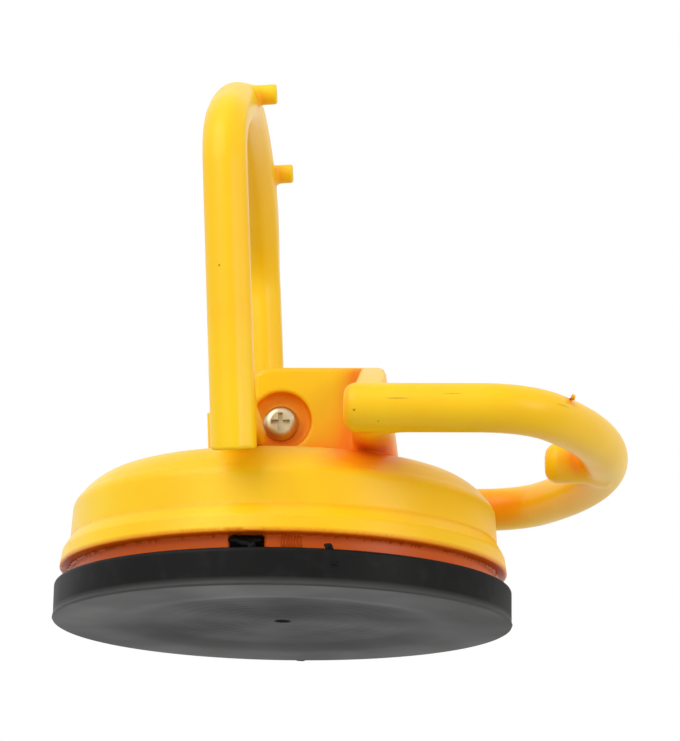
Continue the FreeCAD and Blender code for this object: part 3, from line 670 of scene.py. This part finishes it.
def yellowPlastic():
    # injection-moulded plastic: faint flow clouds, a fine mould grain, dust marks and hair
    # scuffs, painted shade in a deeper orange where the surface is shut in, and painted shade
    # deepest in the band under the flange, fading out up over the lip
    look = plasticLook
    mat, nodes, links, shader = newShader("yellowPlastic")
    shader.inputs["Subsurface Weight"].default_value = look["glow"]
    shader.inputs["Subsurface Radius"].default_value = look["glowReach"]
    shader.inputs["Subsurface Scale"].default_value = look["glowScale"]
    shader.inputs["Specular IOR Level"].default_value = look["specular"]
    coords = addNode(nodes, "ShaderNodeTexCoord", -1200)
    flow = addNode(nodes, "ShaderNodeTexNoise", -900, 300, Scale=look["flowScale"], Detail=3.0,
                   Distortion=0.6)
    grain = addNode(nodes, "ShaderNodeTexNoise", -900, 0, Scale=look["grainScale"], Detail=2.0)
    stretch = addNode(nodes, "ShaderNodeMapping", -1050, -600)
    stretch.inputs["Scale"].default_value = look["scuffStretch"]
    stretch.inputs["Rotation"].default_value = look["scuffTurn"]
    scuffs = addNode(nodes, "ShaderNodeTexNoise", -900, -600, Scale=look["scuffScale"], Detail=3.0)
    for texture in (flow, grain):
        links.new(coords.outputs["Object"], texture.inputs["Vector"])
    links.new(coords.outputs["Object"], stretch.inputs["Vector"])
    links.new(stretch.outputs["Vector"], scuffs.inputs["Vector"])
    clouds = addRange(nodes, links, flow.outputs["Fac"], 0.35, 0.65, 0.0, 1.0, -600, 300)
    tint = addTint(nodes, links, look["color"], look["deepColor"], clouds, -300, 300)
    paintedCavityShade = addNode(nodes, "ShaderNodeAttribute", -600, 500)
    paintedCavityShade.attribute_name = "paintedCavityShade"
    # painted shade: the cavity numbers tint the colour orange, then deeper orange
    for color, span in (("paintedShadeColor", "shut"), ("deepPaintedShadeColor", "deepShut")):
        shut = addRange(nodes, links, paintedCavityShade.outputs["Fac"], *look[span], 0.0, 1.0, -400, 500)
        tint = addTint(nodes, links, tint, look[color], shut, -200, 400)
    apart = addNode(nodes, "ShaderNodeSeparateXYZ", -600, 900)
    links.new(coords.outputs["Object"], apart.inputs["Vector"])
    # painted shade on the band under the flange, by height
    bandShade = addRange(nodes, links, apart.outputs["Z"], *look["bandShadeHeight"], 1.0, 0.0, -400, 900)
    tint = addTint(nodes, links, tint, look["bandShadeColor"], bandShade, -120, 700)
    dirt = addMarks(nodes, links, coords.outputs["Object"], grain.outputs["Fac"])
    tint = addTint(nodes, links, tint, look["dirt"], dirt, -100, 200)
    links.new(tint, shader.inputs["Base Color"])
    scuffed = addRange(nodes, links, scuffs.outputs["Fac"], 0.62, 0.72, 0.0, 1.0, -600, -600)
    gloss = addNode(nodes, "ShaderNodeMath", -100, -100, operation="MULTIPLY_ADD")
    links.new(scuffed, gloss.inputs[0])
    gloss.inputs[1].default_value = look["scuffRoughness"]
    links.new(addRange(nodes, links, flow.outputs["Fac"], 0.3, 0.7, *look["roughness"], -600, 100),
              gloss.inputs[2])
    links.new(gloss.outputs[0], shader.inputs["Roughness"])
    addBumps(nodes, links, shader, [(grain.outputs["Fac"], 0.10, 0.00005),
                                    (flow.outputs["Fac"], 0.25, 0.0006),
                                    (scuffed, 0.06, 0.00004)])
    return mat


rubberLook = {
    "color": (0.0060, 0.0061, 0.0058, 1.0),
    "dust": (0.050, 0.050, 0.048, 1.0),
    # under and land: painted sheen underneath, palest on the outer land
    "under": (0.0088, 0.0088, 0.009, 1.0),
    "land": (0.062, 0.062, 0.0605, 1.0),
    "landSheenStart": (0.020, 0.050),
    "roughness": (0.42, 0.62),
    "specular": 0.1,
    "turning": 4200.0,
}


def blackRubber():
    # moulded rubber: faint dust, turning marks round the axis, and painted sheen underneath, paler
    # than the side and palest on the outer land
    look = rubberLook
    mat, nodes, links, shader = newShader("blackRubber")
    shader.inputs["Specular IOR Level"].default_value = look["specular"]
    coords = addNode(nodes, "ShaderNodeTexCoord", -1300)
    apart = addNode(nodes, "ShaderNodeSeparateXYZ", -1100)
    links.new(coords.outputs["Object"], apart.inputs["Vector"])
    flat = addNode(nodes, "ShaderNodeCombineXYZ", -950)
    links.new(apart.outputs["X"], flat.inputs["X"])
    links.new(apart.outputs["Y"], flat.inputs["Y"])
    length = addNode(nodes, "ShaderNodeVectorMath", -800, operation="LENGTH")
    links.new(flat.outputs["Vector"], length.inputs[0])
    turned = addNode(nodes, "ShaderNodeMath", -650, operation="SINE")
    scaled = addNode(nodes, "ShaderNodeMath", -720, operation="MULTIPLY")
    scaled.inputs[1].default_value = look["turning"]
    links.new(length.outputs["Value"], scaled.inputs[0])
    links.new(scaled.outputs[0], turned.inputs[0])
    dust = addNode(nodes, "ShaderNodeTexNoise", -900, 300, Scale=260.0, Detail=6.0)
    cloud = addNode(nodes, "ShaderNodeTexNoise", -900, 500, Scale=28.0, Detail=2.0)
    for texture in (dust, cloud):
        links.new(coords.outputs["Object"], texture.inputs["Vector"])
    # painted sheen: the underside paler than the side, palest on the outer land
    low = addRange(nodes, links, apart.outputs["Z"], 0.0006, 0.0022, 1.0, 0.0, -600, 600)
    land = addRange(nodes, links, length.outputs["Value"], *look["landSheenStart"], 0.0, 1.0, -600, 700)
    below = addTint(nodes, links, look["under"], look["land"], land, -400, 600)
    base = addTint(nodes, links, look["color"], below, low, -300, 500)
    dusty = addRange(nodes, links, dust.outputs["Fac"], 0.5, 0.85, 0.0, 0.16, -600, 300)
    dusted = addTint(nodes, links, base, look["dust"], dusty, -100, 400)
    links.new(dusted, shader.inputs["Base Color"])
    links.new(addRange(nodes, links, cloud.outputs["Fac"], 0.3, 0.7, *look["roughness"], -600, 100),
              shader.inputs["Roughness"])
    addBumps(nodes, links, shader, [(turned.outputs[0], 0.08, 0.00003),
                                    (dust.outputs["Fac"], 0.12, 0.00012)])
    return mat


def platedSteel(name, color, roughness, markScale, stain):
    # metal with fine tool marks from one noise and stains in its plating from another
    mat, nodes, links, shader = newShader(name)
    shader.inputs["Metallic"].default_value = 1.0
    coords = addNode(nodes, "ShaderNodeTexCoord", -1100)
    tooled = addNode(nodes, "ShaderNodeTexNoise", -800, 0, Scale=markScale, Detail=5.0)
    patches = addNode(nodes, "ShaderNodeTexNoise", -800, 300, Scale=420.0, Detail=3.0)
    for texture in (tooled, patches):
        links.new(coords.outputs["Object"], texture.inputs["Vector"])
    stained = addRange(nodes, links, patches.outputs["Fac"], 0.45, 0.7, 0.0, 0.8, -500, 300)
    tint = addTint(nodes, links, color, stain, stained, -200, 300)
    links.new(tint, shader.inputs["Base Color"])
    links.new(addRange(nodes, links, tooled.outputs["Fac"], 0.3, 0.7, roughness,
                       roughness + 0.15, -500, 0), shader.inputs["Roughness"])
    addBumps(nodes, links, shader, [(tooled.outputs["Fac"], 0.2, 0.00006)])
    return mat


def paint(name, mat):
    # one material in every slot of a CAD piece
    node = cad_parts[name]
    for slot in node.material_slots:
        slot.material = mat


yellow = yellowPlastic()
rubber = blackRubber()
steel = platedSteel("brightSteel", (0.56, 0.56, 0.55, 1), 0.28, 1500.0, (0.46, 0.45, 0.43, 1))
zinc = platedSteel("yellowZinc", (0.60, 0.52, 0.33, 1), 0.30, 1200.0, (0.48, 0.42, 0.30, 1))
for name in ("housing", "lever"):
    paint(name, yellow)
paint("cup_pad", rubber)
for name in ("backing_plate", "lift_stud", "link_pin"):
    paint(name, steel)
for name in ("pivot_screw", "pivot_nut"):
    paint(name, zinc)
print("materials done")


# Pieces

def roomDistance(x, y, z):
    # the housing with the rubber cup under it, for finding how shut in a point is, for painted shade
    cup = np.maximum(np.hypot(x, y) - cupLook["radius"], z - cupLook["height"])
    return np.minimum(housingDistance(x, y, z), cup)


def makeHousing():
    # the housing's distance wrapped in a mesh, with painted shade from how shut in each point is
    look = housingLook
    points, faces, normals = wrapShape(housingDistance, look["low"], look["high"], look["step"])
    print("housing shell", len(points), "points", len(faces) * 2, "triangles")
    piece = makePiece("housingShell", points, faces, "base", ("housing",),
                      yellow, normals)
    paintedShade = paintedShadeDepth(roomDistance, points, normals, look["paintedShadeReach"])
    # the ring's inner sides mostly see the housing: more painted shade there, faded in outwards and
    # up
    facing = np.clip(-normals[:, 1] * np.sign(points[:, 1]), 0.0, 1.0)
    outer = np.clip((np.abs(points[:, 1]) - look["innerStart"][0]) / look["innerFade"][0], 0.0, 1.0)
    above = np.clip((points[:, 2] - look["innerStart"][1]) / look["innerFade"][1], 0.0, 1.0)
    paintedShade += facing * outer * above * look["innerPaintedShade"]
    addPaintedShade(piece, paintedShade)


def makeLever():
    # the lever's distance wrapped in a mesh, with painted shade from how shut in each point is
    look = leverLook
    points, faces, normals = wrapShape(leverDistance, look["low"], look["high"], look["step"])
    print("lever shell", len(points), "points", len(faces) * 2, "triangles")
    piece = makePiece("leverShell", points, faces, "lever", ("lever",),
                      yellow, normals)
    paintedShade = paintedShadeDepth(leverDistance, points, normals, look["paintedShadeReach"])
    addPaintedShade(piece, paintedShade * look["paintedShadeShare"])


ribLook = {
    "start": 3.2, "end": 8.6, "count": 7, "depth": 0.45, "low": 9.25, "high": 12.9,
    # shade: an even painted shade for the ribs in the band's shadow
    "radius": 54.45, "lift": 0.02, "thick": 1.0, "phase": 1.2, "pointsEach": 12, "paintedShade": 0.8,
}


def makeRibs():
    # upright ribs on the pressing band: a strip bent round the band whose front face moves out
    # by a row of rounded humps, the positive part of a sine
    look = ribLook
    across = np.linspace(0.0, 1.0, look["count"] * look["pointsEach"] + 1)
    turn = (look["start"] + (look["end"] - look["start"]) * across) / look["radius"]
    wave = np.sin(across * look["count"] * 2 * math.pi - look["phase"])
    front = np.maximum(wave, 0.0) * look["depth"] + look["lift"]
    corners = []
    for out, height in ((-look["thick"], look["low"]), (front, look["low"]),
                        (front, look["high"]), (-look["thick"], look["high"])):
        reach = look["radius"] + out
        corners.append(np.stack([reach * np.sin(turn), -reach * np.cos(turn),
                                 np.full(len(turn), height)], axis=1))
    points = np.stack(corners, axis=1).reshape(-1, 3)
    last = len(points) - 4
    ends = np.array([[3, 2, 1, 0], [last, last + 1, last + 2, last + 3]])
    faces = np.concatenate([turnedFaces(len(turn), 4), ends])
    piece = makePiece("bandRibs", points, faces, "base", None, yellow)
    # an even painted shade over the ribs
    addPaintedShade(piece, np.full(len(points), look["paintedShade"]))


flashLook = {
    "notch": {"place": (-5.3, -53.0, 11.3), "size": (4.1, 1.4, 1.5), "ragged": 0.35},
    "tag": {"place": (-3.9, -54.2, 10.2), "size": (1.1, 0.8, 1.2), "ragged": 0.4},
    "nick": {"place": (14.7, -55.9, 9.7), "size": (1.0, 0.7, 0.8), "ragged": 0.5},
    "chip": {"place": (16.1, -56.4, 5.6), "size": (0.8, 0.5, 0.6), "ragged": 0.5},
    "burr": {"place": (1.2, 58.6, 0.35), "size": (1.3, 0.6, 0.5), "ragged": 0.5},
}


def makeFlash():
    # lumps of rubber flash: balls stretched by their sizes, with a radius that varies by a
    # product of sines of the two angles
    count, rings = 20, 11
    turn = np.linspace(0, 2 * math.pi, count, endpoint=False)[None, :]
    fall = np.linspace(0.0, math.pi, rings)[:, None]
    points, faces = [], []
    for number, lump in enumerate(flashLook.values()):
        wobble = 1 + lump["ragged"] * np.sin(3 * turn + number) * np.sin(2 * fall) * np.sin(fall)
        ball = np.stack([wobble * np.sin(fall) * np.cos(turn), wobble * np.sin(fall) * np.sin(turn),
                         -wobble * np.cos(fall) * np.ones_like(turn)], axis=2)
        points.append(ball.reshape(-1, 3) * lump["size"] + lump["place"])
        faces.append(turnedFaces(rings, count) + number * rings * count)
    return makePiece("rubberFlash", np.concatenate(points), np.concatenate(faces), "base",
                     None, rubber)


makeCup(rubber)
makeFlash()
print("rubber done")
makeHousing()
makeRibs()
makeLever()
print("plastic done")


# Stage, lamps and camera

stageLook = {
    "floorHeight": -0.0006,
    "floorRadius": 1.6,
    "floorColor": (0.82, 0.82, 0.82, 1.0),
    "sky": 0.62,
    "lampTarget": (0.015, 0.0, 0.06),
}


def makeFloor():
    # A disc that only shows from above: seen from below, and by light, it isn't there.
    count = 96
    turn = np.linspace(0, 2 * math.pi, count, endpoint=False)
    points = np.stack([np.cos(turn), np.sin(turn), np.zeros(count)], axis=1)
    points *= stageLook["floorRadius"]
    points[:, 2] = stageLook["floorHeight"]
    mesh = bpy.data.meshes.new("floor")
    mesh.from_pydata(points.tolist(), [], [list(range(count))])
    floor = bpy.data.objects.new("floor", mesh)
    bpy.context.scene.collection.objects.link(floor)
    mat, nodes, links = newMaterial("paleFloor")
    out = addNode(nodes, "ShaderNodeOutputMaterial", 800)
    diffuse = addNode(nodes, "ShaderNodeBsdfDiffuse", 200, 100)
    diffuse.inputs["Color"].default_value = stageLook["floorColor"]
    clear = addNode(nodes, "ShaderNodeBsdfTransparent", 200, -100)
    ways = addNode(nodes, "ShaderNodeLightPath", -300)
    side = addNode(nodes, "ShaderNodeNewGeometry", -300, -300)
    front = addNode(nodes, "ShaderNodeMath", -100, -300, operation="SUBTRACT")
    front.inputs[0].default_value = 1.0
    links.new(side.outputs["Backfacing"], front.inputs[1])
    seen = addNode(nodes, "ShaderNodeMath", 100, -300, operation="MULTIPLY")
    links.new(ways.outputs["Is Camera Ray"], seen.inputs[0])
    links.new(front.outputs[0], seen.inputs[1])
    mix = addNode(nodes, "ShaderNodeMixShader", 500)
    links.new(seen.outputs[0], mix.inputs["Fac"])
    links.new(clear.outputs[0], mix.inputs[1])
    links.new(diffuse.outputs[0], mix.inputs[2])
    links.new(mix.outputs[0], out.inputs["Surface"])
    mesh.materials.append(mat)


def makeWorld():
    # a soft even light, and plain white to the camera and in reflections
    world = bpy.data.worlds.new("whiteRoom")
    bpy.context.scene.world = world
    world.use_nodes = True
    nodes = world.node_tree.nodes
    links = world.node_tree.links
    nodes.clear()
    out = nodes.new("ShaderNodeOutputWorld")
    soft = nodes.new("ShaderNodeBackground")
    soft.inputs["Strength"].default_value = stageLook["sky"]
    white = nodes.new("ShaderNodeBackground")
    white.inputs["Strength"].default_value = 1.0
    for background in (soft, white):
        background.inputs["Color"].default_value = (1.0, 1.0, 1.0, 1.0)
    ways = nodes.new("ShaderNodeLightPath")
    seen = nodes.new("ShaderNodeMath")
    seen.operation = "MAXIMUM"
    links.new(ways.outputs["Is Camera Ray"], seen.inputs[0])
    both = nodes.new("ShaderNodeMath")
    both.operation = "MAXIMUM"
    links.new(ways.outputs["Is Glossy Ray"], both.inputs[0])
    links.new(ways.outputs["Is Transmission Ray"], both.inputs[1])
    links.new(both.outputs[0], seen.inputs[1])
    mix = nodes.new("ShaderNodeMixShader")
    links.new(seen.outputs[0], mix.inputs["Fac"])
    links.new(soft.outputs[0], mix.inputs[1])
    links.new(white.outputs[0], mix.inputs[2])
    links.new(mix.outputs[0], out.inputs["Surface"])


lamps = {
    "keyLamp": {"place": (-0.55, -0.75, 0.85), "size": 1.15, "power": 9.0},
    "fillLamp": {"place": (0.85, -0.55, 0.30), "size": 0.45, "power": 2.7},
}


def makeLamp(name, place, size, power):
    # a round lamp turned to the middle of the object
    data = bpy.data.lights.new(name, "AREA")
    data.shape = "DISK"
    data.size = size
    data.energy = power
    lamp = bpy.data.objects.new(name, data)
    bpy.context.scene.collection.objects.link(lamp)
    lamp.location = place
    aim = Vector(stageLook["lampTarget"]) - Vector(place)
    lamp.rotation_euler = aim.to_track_quat("-Z", "Y").to_euler()


cameraLook = {
    "target": (0.0138, 0.0, 0.0677),
    "distance": 0.7165,
    "azimuth": 3.03,
    "elevation": -14.76,
    "roll": 0.86,
    "lens": 132.6,
}


def makeCamera():
    # it stands back from its target along its two angles, looks at it, then rolls
    data = bpy.data.cameras.new("camera")
    camera = bpy.data.objects.new("camera", data)
    bpy.context.scene.collection.objects.link(camera)
    around = math.radians(cameraLook["azimuth"])
    above = math.radians(cameraLook["elevation"])
    back = Vector((math.sin(around) * math.cos(above), -math.cos(around) * math.cos(above),
                   math.sin(above)))
    turn = (-back).to_track_quat("-Z", "Y").to_matrix().to_4x4()
    roll = Matrix.Rotation(math.radians(cameraLook["roll"]), 4, "Z")
    place = Vector(cameraLook["target"]) + back * cameraLook["distance"]
    camera.matrix_world = Matrix.Translation(place) @ turn @ roll
    data.lens = cameraLook["lens"]
    data.clip_start = 0.01
    data.clip_end = 20
    bpy.context.scene.camera = camera


makeFloor()
makeWorld()
for name, lamp in lamps.items():
    makeLamp(name, **lamp)
makeCamera()
bpy.context.scene.view_settings.view_transform = "Standard"
print("stage, lamps and camera done")
